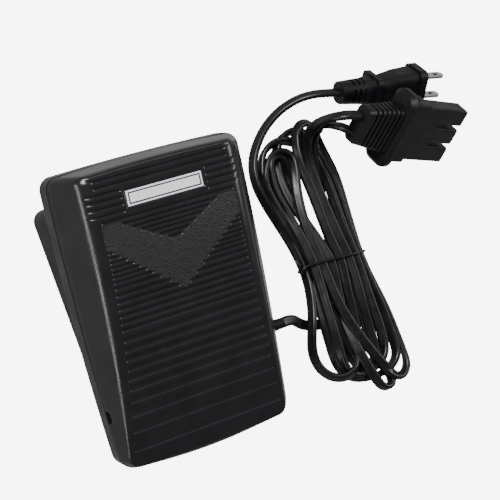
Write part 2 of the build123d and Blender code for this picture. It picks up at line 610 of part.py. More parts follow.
def finger_half():
    return (2 * FRONT_HALF_Y - 2 * FINGER_GAP) / 6


def finger_centres():
    pitch = 2 * finger_half() + FINGER_GAP
    return [-pitch, 0.0, pitch]


def make_connector():
    """Ribbed grip, broad bevelled flange, neck, flat front and three socketed fingers."""
    flange_x = GRIP_L + FLANGE_T
    body_x = flange_x + BODY_L
    end_x = body_x + FINGER_L
    body = tapered(0, GRIP_L, (11.5, 5.4, 3.5), (15.0, 7.0, 3.0))
    for k in range(RIBS):
        x = RIB_START + k * RIB_PITCH
        half_y, half_z = 11.9 + 0.115 * x, 5.5 + 0.05 * x
        ring = slab(x, x + RIB_SLOT, half_y + 3, half_z + 3, 2)
        body = body - (ring - slab(x - 1, x + 3, half_y - 1.4, half_z - 1.4, 2))
    inner = (FLANGE_HALF_Y - FLANGE_BEVEL, FLANGE_HALF_Z - FLANGE_BEVEL, 5.0)
    outer = (FLANGE_HALF_Y, FLANGE_HALF_Z, 6.5)
    body = body + tapered(GRIP_L, GRIP_L + FLANGE_BEVEL, inner, outer)
    body = body + slab(GRIP_L + FLANGE_BEVEL, flange_x - FLANGE_BEVEL, *outer)
    body = body + tapered(flange_x - FLANGE_BEVEL, flange_x, outer, inner)
    body = body + slab(flange_x, flange_x + NECK_L, FRONT_HALF_Y + 1.4, FRONT_HALF_Z + 1.2, 1.5)
    body = body + slab(flange_x, body_x, FRONT_HALF_Y, FRONT_HALF_Z, 1.5)
    for y in finger_centres():
        socket = Pos(0, y, 0) * slab(body_x - 6, end_x + 1, SOCKET_HALF, SOCKET_HALF, 0.6)
        body = body + Pos(0, y, 0) * slab(body_x, end_x, finger_half(), FRONT_HALF_Z, 1.5) - socket
    return body


def make_contact(y):
    """A sprung metal sleeve at the bottom of one finger's socket."""
    x_low = GRIP_L + FLANGE_T + BODY_L - 5
    sleeve = slab(x_low, x_low + 22, 2.5, 2.5, 0.5) - slab(x_low + 2, x_low + 24, 2.0, 2.0, 0.4)
    return Pos(0, y, 0) * sleeve


# ---------------------------------------------------------------- hank and tie
def make_tie(radius):
    """A wire round the hank's waist, drawn tight."""
    low, high = radius, HANK_H + 0.2
    ring = FilletPolyline(
        (TIE_LEFT, TIE_Y, low), (TIE_RIGHT, TIE_Y + TIE_SLANT, low),
        (TIE_RIGHT, TIE_Y + TIE_SLANT, high), (TIE_LEFT, TIE_Y, high),
        radius=3, close=True)
    section = Plane(origin=ring @ 0, z_dir=ring % 0) * Circle(radius)
    return sweep(section, path=ring)


def make_hank():
    hank = extrude(make_face(Spline(*HANK_OUTLINE, periodic=True)), HANK_H)
    return hank - make_tie(TIE_R + 0.2)


# ---------------------------------------------------------------- every node
os.makedirs("parts", exist_ok=True)

save("treadle_cover", on_treadle(make_cover()), "black")
save("treadle_skirt", on_treadle(make_skirt()), "dimgray")
save("skirt_screws", [on_treadle(Pos(u, v, -TAB_T) * pan_screw(6)) for u, v in SCREW_SPOTS], "silver")
save("label_plate", on_treadle(make_label()), "white")
save("hinge_bracket", on_treadle(make_bracket()), "silver")
save("bracket_screws", [
    on_treadle(Pos(side * BRACKET_SCREW_U, BRACKET_V, BRACKET_W - PLATE_T) * pan_screw(3.6)) for side in (-1, 1)
], "silver")
save("hinge_pin", cross_rod(0, PIVOT_Y, PIVOT_Z, PIN_R, 2 * LUG_X + LUG_T), "silver")

save("base_tray", make_tray(), "black")
save("rubber_feet", [make_foot(x, y) for x, y in FOOT_SPOTS], "dimgray")
for side_name, spot in zip(("left", "right"), spring_feet()):
    save(f"return_spring_{side_name}", make_spring(*spot), "silver")
save("travel_stops", [make_stop(side * STOP_X) for side in (-1, 1)], "dimgray")

save("circuit_board", make_board(), "darkgreen")
save("board_screws", [Pos(x, y, BOARD_TOP) * Rot(180, 0, 0) * pan_screw(5, 1.1, 2.4) for x, y in board_corners()],
     "silver")
save("slide_resistor", make_resistor_housing(), "tan")
save("slider_carriage", make_carriage(), "ivory")
save("contact_brush", block((-3, RAIL_Y + 2.3, CARRIAGE_LOW + 1), (3, RAIL_Y + 2.8, CARRIAGE_LOW + 6)), "gold")
save("heat_sink", make_heat_sink(), "lightgray")
save("triac", make_triac(), "dimgray")
save("film_capacitor", block((6, -14, BOARD_TOP), (24, -6, BOARD_TOP + 11), 1), "gold")
save("choke_coil", Pos(16, 6, BOARD_TOP + 3.4) * Torus(7, 3.2), "orange")
save("resistors", [make_resistor(x, -18) for x in (-24, -10)], "tan")
save("terminal_block", make_terminal(), "green")

save("cord_clamp", make_clamp(), "silver")
save("clamp_screws", [
    Pos(x, y, LEAD_Z + 4.4) * Rot(180, 0, 0) * pan_screw(9, 1.0, 2.3) for x, y in clamp_holes()
], "silver")
save("strain_relief", make_relief(), "black")
save("inner_lead", rod((LEAD_END_X, LEAD_Y, LEAD_Z), (RELIEF_WALL, LEAD_Y, LEAD_Z), CORD_R - 0.05), "black")
save("core_wires", [make_core_wire(x, side) for x, side in zip(TERMINAL_X, (1, -1))], "red")

save("plug_body", PLUG_AT.location * make_plug(), "black")
save("plug_blades", [PLUG_AT.location * make_blade(side * BLADE_GAP / 2) for side in (-1, 1)], "silver")
save("connector_body", CONNECTOR_AT.location * make_connector(), "black")
save("connector_contacts", [CONNECTOR_AT.location * make_contact(y) for y in finger_centres()], "gold")

save("cord_hank", make_hank(), "black")
save("cord_tie", make_tie(TIE_R), "dimgray")
save("pedal_cord", cord_tube("pedal_cord", LEAD_DROP, CORD_R), "black")
save("plug_lead", cord_tube("plug_lead", PLUG_LEAD, CORD_R), "black")
save("loose_strand", cord_tube("loose_strand", LOOSE_STRAND, CORD_R), "black")
for lead_name, start_y, fall in (("a", -LEAD_SPACING / 2, LEAD_A_FALL), ("b", LEAD_SPACING / 2, LEAD_B_FALL)):
    route = [connector_point(0, start_y)] + fall
    save(f"connector_lead_{lead_name}", cord_tube(f"connector_lead_{lead_name}", route, CORD_R), "black")
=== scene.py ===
from math import cos, pi, radians, sin, sqrt, tan

import bmesh
import bpy
import numpy as np
from mathutils import Matrix, Vector


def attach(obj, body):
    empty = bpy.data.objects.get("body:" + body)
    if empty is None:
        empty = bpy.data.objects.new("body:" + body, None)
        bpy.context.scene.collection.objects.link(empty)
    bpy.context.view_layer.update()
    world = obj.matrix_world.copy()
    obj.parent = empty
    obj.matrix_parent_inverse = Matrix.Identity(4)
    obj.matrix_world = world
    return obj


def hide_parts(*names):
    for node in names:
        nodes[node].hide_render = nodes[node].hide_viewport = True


# Sewing machine pedal with its two flat twin leads, in metres.
# +X is to the right, +Y runs from the heel to the toe, +Z is up.
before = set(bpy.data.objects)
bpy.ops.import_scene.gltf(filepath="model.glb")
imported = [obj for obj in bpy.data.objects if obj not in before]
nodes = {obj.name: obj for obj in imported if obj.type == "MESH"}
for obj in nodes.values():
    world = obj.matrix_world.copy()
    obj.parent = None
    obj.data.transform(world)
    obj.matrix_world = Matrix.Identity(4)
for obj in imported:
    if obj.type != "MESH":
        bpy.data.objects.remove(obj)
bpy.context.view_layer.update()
MM = 0.001


# ---------------------------------------------------------------- helpers
def link(obj):
    bpy.context.scene.collection.objects.link(obj)
    return obj


def mesh_piece(name, points, faces, materials, indices=None, smooth=True):
    """A mesh object from points in millimetres."""
    mesh = bpy.data.meshes.new(name)
    mesh.from_pydata([tuple(p) for p in np.asarray(points, float) * MM], [], faces)
    for material in materials:
        mesh.materials.append(material)
    if indices is not None:
        mesh.polygons.foreach_set("material_index", indices)
    mesh.polygons.foreach_set("use_smooth", [smooth] * len(mesh.polygons))
    mesh.update()
    return link(bpy.data.objects.new(name, mesh))


# ---------------------------------------------------------------- materials
NOISE_LOW, NOISE_HIGH = 0.35, 0.65


class NodeMaterial:
    """A material on the Principled shader, with short helpers for the nodes that feed it."""

    def __init__(self, name):
        self.material = bpy.data.materials.new(name)
        self.material.use_nodes = True
        self.tree = self.material.node_tree
        self.shader = self.tree.nodes["Principled BSDF"]
        self.coord = self.add("ShaderNodeTexCoord")

    def add(self, kind, **values):
        node = self.tree.nodes.new(kind)
        for key, value in values.items():
            if hasattr(node, key):
                setattr(node, key, value)
            else:
                node.inputs[key].default_value = value
        return node

    def join(self, output, socket):
        self.tree.links.new(output, socket)

    def put(self, socket, output):
        self.join(output, self.shader.inputs[socket])

    def noise(self, scale, detail=2.0, rough=0.5):
        node = self.add("ShaderNodeTexNoise", Scale=scale, Detail=detail, Roughness=rough)
        self.join(self.coord.outputs["Object"], node.inputs["Vector"])
        return node.outputs["Fac"]

    def ramp(self, output, low, high):
        """The usual range of a noise, spread over low to high."""
        node = self.add("ShaderNodeMapRange")
        node.inputs["From Min"].default_value = NOISE_LOW
        node.inputs["From Max"].default_value = NOISE_HIGH
        node.inputs["To Min"].default_value = low
        node.inputs["To Max"].default_value = high
        self.join(output, node.inputs["Value"])
        return node.outputs["Result"]

    def mix(self, output, first, second):
        """A colour between two colours."""
        node = self.add("ShaderNodeMix", data_type="RGBA")
        node.inputs[6].default_value = (*first, 1)
        node.inputs[7].default_value = (*second, 1)
        self.join(output, node.inputs[0])
        return node.outputs[2]

    def bump(self, output, strength, distance):
        node = self.add("ShaderNodeBump", Strength=strength, Distance=distance)
        self.join(output, node.inputs["Height"])
        return node.outputs["Normal"]


def moulded(name, dark, light, rough, patch=60, grain=1500, grain_depth=0.00004, metal=0.0, gleam=0.5):
    """Moulded plastic, rubber, ceramic or metal: patchy colour and gloss over a fine grain."""
    made = NodeMaterial(name)
    made.put("Base Color", made.mix(made.ramp(made.noise(patch, 3), 0, 1), dark, light))
    made.put("Roughness", made.ramp(made.noise(patch * 1.7, 4), rough * 0.82, rough * 1.18))
    made.put("Normal", made.bump(made.noise(grain, 2), 0.5, grain_depth))
    made.shader.inputs["Metallic"].default_value = metal
    made.shader.inputs["Specular IOR Level"].default_value = gleam
    return made.material


def cover_plastic():
    """Glossy black plastic, with the speckled matt finish where the mesh says stipple."""
    made = NodeMaterial("cover_black")
    mask = made.add("ShaderNodeAttribute", attribute_name="stipple").outputs["Fac"]
    blend = made.add("ShaderNodeMix", data_type="FLOAT")
    made.join(mask, blend.inputs[0])
    made.join(made.ramp(made.noise(45, 4), 0.20, 0.27), blend.inputs[2])
    made.join(made.ramp(made.noise(900, 2), 0.34, 0.55), blend.inputs[3])
    made.put("Roughness", blend.outputs[0])
    patches = made.ramp(made.noise(70, 3), 0, 1)
    made.put("Base Color", made.mix(patches, (0.0075, 0.0075, 0.0085), (0.0105, 0.0105, 0.012)))
    speckle = made.add("ShaderNodeBump", Distance=0.0005)
    made.join(mask, speckle.inputs["Strength"])
    made.join(made.noise(1000, 2, 0.6), speckle.inputs["Height"])
    made.join(made.bump(made.noise(1100, 3, 0.6), 0.05, 0.00003), speckle.inputs["Normal"])
    made.put("Normal", speckle.outputs["Normal"])
    return made.material


SHELL = cover_plastic()
SKIRT_BLACK = moulded(
    "skirt_black", (0.006, 0.006, 0.007), (0.009, 0.009, 0.0105), 0.32, 45, 1100, 0.00002, gleam=0.14
)
TRAY_BLACK = moulded(
    "tray_black", (0.005, 0.005, 0.006), (0.008, 0.008, 0.010), 0.42, 60, 1400, 0.00002, gleam=0.3
)
CORD_BLACK = moulded(
    "cord_black", (0.004, 0.004, 0.005), (0.006, 0.006, 0.0075), 0.34, 120, 900, 0.000006, gleam=0.38
)
MOULDED_BLACK = moulded(
    "plug_black", (0.0045, 0.0045, 0.0055), (0.007, 0.007, 0.0085), 0.42, 90, 1200, 0.00002, gleam=0.22
)
RUBBER = moulded("rubber", (0.018, 0.017, 0.016), (0.034, 0.032, 0.030), 0.72, 150, 900, 0.00010)
STEEL = moulded("steel", (0.46, 0.46, 0.45), (0.60, 0.60, 0.59), 0.30, 220, 1800, 0.00003, metal=1.0)
BLADE = moulded("blade_metal", (0.58, 0.57, 0.55), (0.72, 0.71, 0.69), 0.22, 260, 1500, 0.00002, metal=1.0)
BRASS = moulded("brass", (0.52, 0.36, 0.13), (0.66, 0.47, 0.20), 0.28, 240, 1500, 0.00003, metal=1.0)
ALUMINIUM = moulded("aluminium", (0.62, 0.63, 0.64), (0.72, 0.73, 0.74), 0.36, 260, 1500, 0.00004, metal=1.0)
COPPER = moulded("copper", (0.55, 0.22, 0.11), (0.69, 0.31, 0.16), 0.33, 500, 1500, 0.00006, metal=1.0)
BOARD_TAN = moulded("phenolic_board", (0.20, 0.12, 0.05), (0.27, 0.17, 0.075), 0.45, 300, 1200, 0.00004)
PHENOLIC = moulded("phenolic", (0.10, 0.05, 0.025), (0.16, 0.08, 0.04), 0.42, 200, 1200, 0.00004)
NYLON = moulded("nylon", (0.62, 0.60, 0.52), (0.72, 0.70, 0.62), 0.42, 160, 1200, 0.00004)
YELLOW = moulded("capacitor_yellow", (0.52, 0.33, 0.04), (0.64, 0.43, 0.07), 0.35, 130, 1200, 0.00003)
TAN = moulded("resistor_tan", (0.46, 0.32, 0.17), (0.58, 0.42, 0.25), 0.42, 300, 1200, 0.00003)
GREEN = moulded("terminal_green", (0.03, 0.17, 0.08), (0.05, 0.24, 0.12), 0.42, 160, 1200, 0.00003)
RED = moulded("wire_red", (0.40, 0.03, 0.02), (0.54, 0.05, 0.035), 0.38, 200, 1200, 0.00003)
PLATE_WHITE = moulded("plate_white", (0.80, 0.80, 0.80), (0.87, 0.87, 0.87), 0.32, 130, 1300, 0.00002)
PLATE_IVORY = moulded("plate_ivory", (0.80, 0.80, 0.79), (0.88, 0.88, 0.87), 0.36, 260, 1300, 0.00002)
PLATE_LINE = moulded(
    "plate_line", (0.003, 0.003, 0.040), (0.005, 0.005, 0.060), 0.60, 300, 1300, 0.00002, gleam=0.1
)

FINISHES = {
    "treadle_skirt": SKIRT_BLACK, "base_tray": TRAY_BLACK, "rubber_feet": RUBBER, "travel_stops": RUBBER,
    "skirt_screws": STEEL, "bracket_screws": STEEL, "board_screws": STEEL, "clamp_screws": STEEL,
    "hinge_bracket": STEEL, "hinge_pin": STEEL, "return_spring_left": STEEL, "return_spring_right": STEEL,
    "circuit_board": BOARD_TAN, "slide_resistor": PHENOLIC, "slider_carriage": NYLON,
    "contact_brush": BRASS, "heat_sink": ALUMINIUM, "triac": TRAY_BLACK, "film_capacitor": YELLOW,
    "choke_coil": COPPER, "resistors": TAN, "terminal_block": GREEN, "cord_clamp": STEEL,
    "strain_relief": MOULDED_BLACK, "inner_lead": CORD_BLACK, "core_wires": RED,
    "plug_body": MOULDED_BLACK, "plug_blades": BLADE, "connector_body": MOULDED_BLACK,
    "connector_contacts": BRASS,
}


def dress_nodes():
    """Gives every CAD piece that is shown its own finish."""
    for node_name, finish in FINISHES.items():
        mesh = nodes[node_name].data
        mesh.materials.clear()
        mesh.materials.append(finish)


dress_nodes()

# ---------------------------------------------------------------- treadle cover
# The treadle's own frame has u to the right, v to the toe and w square to its parting plane.
TILT = radians(13.0)
TREAD_ORIGIN = Vector((0, -1.2, 34.221))
HALF_LENGTH = 81.0
TOE_HALF, MID_HALF, HEEL_HALF = 55.3, 54.6, 50.5
TOE_RISE, MID_RISE, HEEL_RISE = 18.7, 16.7, 4.0
TOE_BULGE, HEEL_BULGE = 1.1, 3.5
TOE_CORNER, HEEL_CORNER = 7.0, 9.0
SIDE_SLOPE = tan(radians(32.0))
SHOULDER_SHARE = 0.28
COVER_WALL, COVER_ROOF, ROOF_DRAFT = 2.4, 2.5, 0.99
# where the flat of the roof would meet the walls if the shoulder were not rounded
BEND_TOE, BEND_HEEL = 79.2, -79.9
BEND_TOE_BULGE, BEND_HEEL_BULGE = 0.9, 2.4
BEND_TOE_CORNER, BEND_HEEL_CORNER = 4.6, 6.0
SHOULDER_REACH, SHOULDER_LEAST, SHOULDER_MOST = 1.15, 0.1, 0.6
SHOULDER_STEPS, WALL_STEPS = 12, 6
SCALLOP_FADE = 1.6
NOTCH_V, NOTCH_HALF, NOTCH_DEPTH = -48.0, 3.2, 1.3
# the ribbed field and its mesh
FIELD_TOE, FIELD_HEEL = 75.6, -76.6
FIELD_TOE_CORNER, FIELD_HEEL_CORNER = 3.0, 4.0
COLUMNS = 170
WIDE = COLUMNS + 1
ROW_SHARES = np.linspace(-1, 1, WIDE)
ROW_GAP_LEAST, ROW_GAP_MOST = 0.02, 1.3
LABEL_V, LABEL_HALF_W, LABEL_HALF_H = 62.2, 21.5, 4.0
RECESS_GAP, RECESS_DEPTH = 0.5, 0.55
# the chevron: its two edges run out from the middle line, one from each tip
INNER_TIP, INNER_SLOPE = 35.5, 0.55
OUTER_TIP, OUTER_SLOPE = 9.5, 0.80
CHEVRON_HEEL, CHEVRON_TOE, CHEVRON_MARGIN = 9.0, 52.0, 0.8
# grooves: how deep, how soft their edges and ends are, and how far they stop from the field's edge
GROOVE_DEPTH, GROOVE_EDGE, GROOVE_END, GROOVE_INSET = 0.5, 0.2, 0.5, 0.5
LAND_DEPTH = 0.1
RUN_OUT = 99
# families of grooves: how many, the v of the first one, their pitch and their width
TOE_FAMILY = (7, 74.4, 3.55, 1.4)
CHEVRON_FAMILY = (12, 50.2, 2.52, 1.15)
MIDDLE_FAMILY = (7, 19.4, 3.65, 1.6)
HEEL_COUNT, HEEL_FIRST, HEEL_PITCH, HEEL_STEADY, HEEL_GROWTH = 10, -6.5, 5.1, 4, 1.17


def treadle(points):
    """Points of the tilted treadle frame (u, v, w) in the pedal's frame, millimetres."""
    points = np.asarray(points, float)
    u, v, w = points[:, 0], points[:, 1], points[:, 2]
    y = v * cos(TILT) - w * sin(TILT) + TREAD_ORIGIN.y
    z = v * sin(TILT) + w * cos(TILT) + TREAD_ORIGIN.z
    return np.stack([u, y, z], axis=1)


def through(toe, middle, heel, v):
    """The parabola through its values at the toe, the middle and the heel."""
    s = v / HALF_LENGTH
    return middle + (toe - heel) / 2 * s + ((toe + heel) / 2 - middle) * s * s


def rise(v):
    return through(TOE_RISE, MID_RISE, HEEL_RISE, v)


def half_width(v):
    return through(TOE_HALF, MID_HALF, HEEL_HALF, v)


def bend_half(v):
    return half_width(v) - SIDE_SLOPE * rise(v)


def field_half(v):
    return half_width(v) - (SIDE_SLOPE + SHOULDER_SHARE) * rise(v)


def chevron_ends(v):
    return max(0.0, (v - INNER_TIP) / INNER_SLOPE), max(0.0, (v - OUTER_TIP) / OUTER_SLOPE)


def family(count, first, pitch, width):
    return [(first - k * pitch, width) for k in range(count)]


def groove_list():
    """Every groove as (v, width, start u, end u); start 0 means that it runs across the middle."""
    grooves = []
    for v, width in family(*TOE_FAMILY):
        if abs(v - LABEL_V) < LABEL_HALF_H + 2.4:
            grooves.append((v, width, LABEL_HALF_W + 2.5, RUN_OUT))
        else:
            grooves.append((v, width, 0, field_half(v) - GROOVE_INSET))
    for v, width in family(*CHEVRON_FAMILY):
        inner, outer = chevron_ends(v)
        edge = field_half(v)
        if inner > 2:
            grooves.append((v, width, 0, min(inner, edge - GROOVE_INSET)))
        if outer < edge - 2:
            grooves.append((v, width, outer, edge - GROOVE_INSET))
    for v, width in family(*MIDDLE_FAMILY):
        outer = chevron_ends(v)[1]
        grooves.append((v, width, outer if outer > 2 else 0, field_half(v) - GROOVE_INSET))
    v, pitch = HEEL_FIRST, HEEL_PITCH
    for k in range(HEEL_COUNT):
        grooves.append((v - pitch / 4, pitch / 2, 0, field_half(v) - GROOVE_INSET))
        v -= pitch
        if k >= HEEL_STEADY:
            pitch *= HEEL_GROWTH
    return grooves


GROOVES = groove_list()


def smooth_step(x):
    x = np.clip(x, 0, 1)
    return x * x * (3 - 2 * x)


def groove_drop(u, v):
    """How deep the surface lies under the plain crown at each point of one row."""
    u = np.abs(u)
    drop = np.zeros_like(u)
    for middle, width, start, end in GROOVES:
        side = abs(v - middle) - width / 2
        if side > GROOVE_EDGE:
            continue
        depth = GROOVE_DEPTH * (1 - smooth_step((side + GROOVE_EDGE) / (2 * GROOVE_EDGE)))
        along = smooth_step((u - start) / GROOVE_END + 0.5) if start > 0 else 1.0
        along = along * smooth_step((end - u) / GROOVE_END + 0.5)
        drop = np.maximum(drop, depth * along)
    return drop


def row_places():
    """The v of every row of the field: close together at the groove edges and in the corners."""
    places = {FIELD_TOE, FIELD_HEEL}
    for middle, width, _, _ in GROOVES:
        for side in (-1, 1):
            for step in (-GROOVE_EDGE, -0.07, 0.07, GROOVE_EDGE):
                places.add(round(middle + side * (width / 2) + step, 4))
    for edge in (LABEL_V - LABEL_HALF_H - RECESS_GAP, LABEL_V + LABEL_HALF_H + RECESS_GAP):
        places.update((edge - 0.1, edge + 0.1))
    for k in range(1, 13):
        angle = k * pi / 24
        places.add(FIELD_TOE - FIELD_TOE_CORNER * (1 - sin(angle)))
        places.add(FIELD_HEEL + FIELD_HEEL_CORNER * (1 - sin(angle)))
    places = sorted(p for p in places if FIELD_HEEL <= p <= FIELD_TOE)
    kept = [places[0]]
    for place in places[1:]:
        last = kept[-1]
        gap = place - last
        if gap < ROW_GAP_LEAST:
            continue
        extra = int(gap / ROW_GAP_MOST)
        for i in range(extra):
            kept.append(last + gap * (i + 1) / (extra + 1))
        kept.append(place)
    return kept


def field_end(v):
    """Half length of a row, shortened by the field's rounded corners."""
    edge = field_half(v)
    for limit, corner, sign in ((FIELD_TOE, FIELD_TOE_CORNER, 1), (FIELD_HEEL, FIELD_HEEL_CORNER, -1)):
        over = corner - sign * (limit - v)
        if over > 0:
            edge -= corner - sqrt(max(corner * corner - over * over, 0))
    return edge


def field_surface(rows):
    """Points of the ribbed field, row by row, and how far each has the speckled finish."""
    points, stipple = [], []
    for v in rows:
        u = ROW_SHARES * field_end(v)
        recess = (np.abs(u) < LABEL_HALF_W + RECESS_GAP) & (abs(v - LABEL_V) < LABEL_HALF_H + RECESS_GAP)
        drop = np.where(recess, RECESS_DEPTH, groove_drop(u, v))
        points.append(np.stack([u, np.full_like(u, v), rise(v) - drop], axis=1))
        inner, outer = chevron_ends(v)
        chevron = (np.abs(u) > inner - CHEVRON_MARGIN) & (np.abs(u) < outer + CHEVRON_MARGIN)
        chevron = chevron & (CHEVRON_HEEL < v < CHEVRON_TOE)
        stipple.append(np.where(chevron & (drop < LAND_DEPTH), 1.0, 0.0))
    return np.concatenate(points), np.concatenate(stipple)


def field_border(rows):
    """The field's closed border, anticlockwise from the heel's left corner: index, kind, value, side."""
    toe_line, heel_line = FIELD_TOE - FIELD_TOE_CORNER, FIELD_HEEL + FIELD_HEEL_CORNER
    toe_start = next(i for i, v in enumerate(rows) if v > toe_line - 1e-6)
    heel_stop = max(i for i, v in enumerate(rows) if v < heel_line + 1e-6)

    def edge(side, column):
        chain = []
        for r in range(1, len(rows) - 1):
            if r <= heel_stop:
                over = min(1.0, (heel_line - rows[r]) / FIELD_HEEL_CORNER)
                kind, value = "heel_corner", np.arcsin(over) / (pi / 2)
            elif r >= toe_start:
                over = min(1.0, (rows[r] - toe_line) / FIELD_TOE_CORNER)
                kind, value = "toe_corner", np.arcsin(over) / (pi / 2)
            else:
                kind, value = "side", (rows[r] - rows[heel_stop]) / (rows[toe_start] - rows[heel_stop])
            chain.append((r * WIDE + column, kind, value, side))
        return chain

    top = (len(rows) - 1) * WIDE
    heel_end = [(c, "heel_end", ROW_SHARES[c], 1) for c in range(WIDE)]
    toe_end = [(top + c, "toe_end", ROW_SHARES[c], 1) for c in range(COLUMNS, -1, -1)]
    return heel_end + edge(1, COLUMNS) + toe_end + edge(-1, 0)[::-1]


def rounded_plan(v_toe, v_heel, bulge_toe, bulge_heel, half, toe_corner, heel_corner):
    """A function that gives the plan point of one closed ring for a side, corner or end place."""
    def place(kind, value, side):
        if kind == "side":
            low, high = v_heel + bulge_heel + heel_corner, v_toe - bulge_toe - toe_corner
            v = low + (high - low) * value
            return side * half(v), v
        toe = kind.startswith("toe")
        sign = 1 if toe else -1
        corner = toe_corner if toe else heel_corner
        limit = v_toe - bulge_toe if toe else v_heel + bulge_heel
        bulge = bulge_toe if toe else bulge_heel
        centre_v = limit - sign * corner
        centre_u = half(centre_v) - corner
        if kind.endswith("corner"):
            angle = value * pi / 2
            return side * (centre_u + corner * cos(angle)), centre_v + sign * corner * sin(angle)
        u = centre_u * value
        return u, limit + sign * bulge * (1 - value * value)
    return place


def shell_rings(border, field):
    """Rings of points from the field's border over the shoulder, down the wall and back up inside."""
    parting = rounded_plan(
        HALF_LENGTH, -HALF_LENGTH, TOE_BULGE, HEEL_BULGE, half_width, TOE_CORNER, HEEL_CORNER
    )
    crown = rounded_plan(
        BEND_TOE, BEND_HEEL, BEND_TOE_BULGE, BEND_HEEL_BULGE, bend_half, BEND_TOE_CORNER, BEND_HEEL_CORNER
    )
    start = field[[index for index, *_ in border]]
    drop = np.array([rise(v) for v in start[:, 1]]) - start[:, 2]
    start[:, 2] += drop
    rim = np.array([(*parting(*place), 0.0) for _, *place in border])
    bend = np.array([crown(*place) for _, *place in border])
    bend = np.column_stack([bend, [rise(v) for v in bend[:, 1]]])
    reach = np.linalg.norm(start - bend, axis=1) / np.linalg.norm(rim - bend, axis=1)
    share = np.clip(SHOULDER_REACH * reach, SHOULDER_LEAST, SHOULDER_MOST)
    low = bend + (rim - bend) * share[:, None]
    rings = []
    for k in range(1, SHOULDER_STEPS + 1):
        s = k / SHOULDER_STEPS
        ring = start * (1 - s) ** 2 + bend * 2 * s * (1 - s) + low * s * s
        ring[:, 2] -= drop * max(0.0, 1 - s * SCALLOP_FADE)
        rings.append(ring)
    notch = (rim[:, 0] < 0) & (np.abs(rim[:, 1] - NOTCH_V) < NOTCH_HALF)
    for k in range(1, WALL_STEPS + 1):
        ring = low + (rim - low) * (k / WALL_STEPS)
        if k >= WALL_STEPS - 1:
            ring[notch, 0] += NOTCH_DEPTH
        rings.append(ring)
    inner_rim = rim.copy()
    inner_rim[:, 0] *= (half_width(0) - COVER_WALL) / half_width(0)
    inner_rim[:, 1] *= (HALF_LENGTH - COVER_WALL) / HALF_LENGTH
    inner_top = start.copy()
    inner_top[:, 2] -= COVER_ROOF
    inner_top[:, 0] *= ROOF_DRAFT
    return rings + [inner_rim, inner_top]


def band_faces(first, second):
    """Quads between two closed rings of point indices."""
    faces = []
    for i in range(len(first)):
        j = (i + 1) % len(first)
        faces.append((first[j], first[i], second[i], second[j]))
    return faces


def roof_faces(border, ring, count):
    """The inside of the roof: wide strips from row to row, and one face at each end."""
    left = {index // WIDE: ring + i for i, (index, *_) in enumerate(border) if index % WIDE == 0}
    right = {index // WIDE: ring + i for i, (index, *_) in enumerate(border) if index % WIDE == COLUMNS}
    faces = [(left[r], left[r + 1], right[r + 1], right[r]) for r in range(1, count - 2)]
    heel_line = [ring + i for i in range(WIDE)]
    toe_first = ring + next(i for i, place in enumerate(border) if place[1] == "toe_end")
    toe_line = [toe_first + i for i in range(WIDE)]
    faces.append((left[1], right[1], *heel_line[::-1]))
    faces.append((right[count - 2], left[count - 2], *toe_line[::-1]))
    return faces


def make_cover():
    rows = row_places()
    field, stipple = field_surface(rows)
    border = field_border(rows)
    rings = shell_rings(border, field)
    faces = []
    for r in range(len(rows) - 1):
        a = r * WIDE
        for c in range(COLUMNS):
            faces.append((a + c, a + c + 1, a + WIDE + c + 1, a + WIDE + c))
    previous = [index for index, *_ in border]
    for k in range(len(rings)):
        start = len(field) + k * len(border)
        current = list(range(start, start + len(border)))
        faces += band_faces(previous, current)
        previous = current
    faces += roof_faces(border, previous[0], len(rows))
    points = np.concatenate([field] + rings)
    stipple = np.concatenate([stipple, np.zeros(len(points) - len(field))])
    piece = mesh_piece("cover_shell", treadle(points), faces, [SHELL])
    mask = piece.data.attributes.new("stipple", "FLOAT", "POINT")
    mask.data.foreach_set("value", stipple.astype(np.float32))
    bm = bmesh.new()
    bm.from_mesh(piece.data)
    bmesh.ops.recalc_face_normals(bm, faces=bm.faces)
    bm.to_mesh(piece.data)
    bm.free()
    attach(piece, "treadle")
    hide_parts("treadle_cover")


make_cover()


# ---------------------------------------------------------------- label plate
def make_label():
    """A white plate with a thin dark border line let into it and a plain middle, no lettering."""
    # distance in from the edge, height over the crown, and the finish of the band that ends there
    steps = [
        (0.0, -0.62, 0), (0.0, -0.08, 0), (0.12, 0.0, 0), (0.93, 0.0, 0), (0.95, -0.04, 1), (1.63, -0.04, 1),
        (1.65, 0.0, 2),
    ]
    points, faces, indices = [], [], []
    for inset, height, _ in steps:
        a, b = LABEL_HALF_W - inset, LABEL_HALF_H - inset
        for u, v in ((-a, -b), (a, -b), (a, b), (-a, b)):
            points.append((u, LABEL_V + v, rise(LABEL_V + v) + height))
    for k in range(len(steps) - 1):
        for i in range(4):
            j = (i + 1) % 4
            faces.append((4 * k + i, 4 * k + j, 4 * k + 4 + j, 4 * k + 4 + i))
            indices.append(steps[k + 1][2])
    last = 4 * (len(steps) - 1)
    faces += [(last, last + 1, last + 2, last + 3), (3, 2, 1, 0)]
    indices += [2, 0]
    finishes = [PLATE_WHITE, PLATE_LINE, PLATE_IVORY]
    piece = mesh_piece("label_face", treadle(points), faces, finishes, indices, smooth=False)
    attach(piece, "treadle")
    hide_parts("label_plate")


make_label()

# ---------------------------------------------------------------- cords
CORD_W, CORD_T = 6.2, 3.5
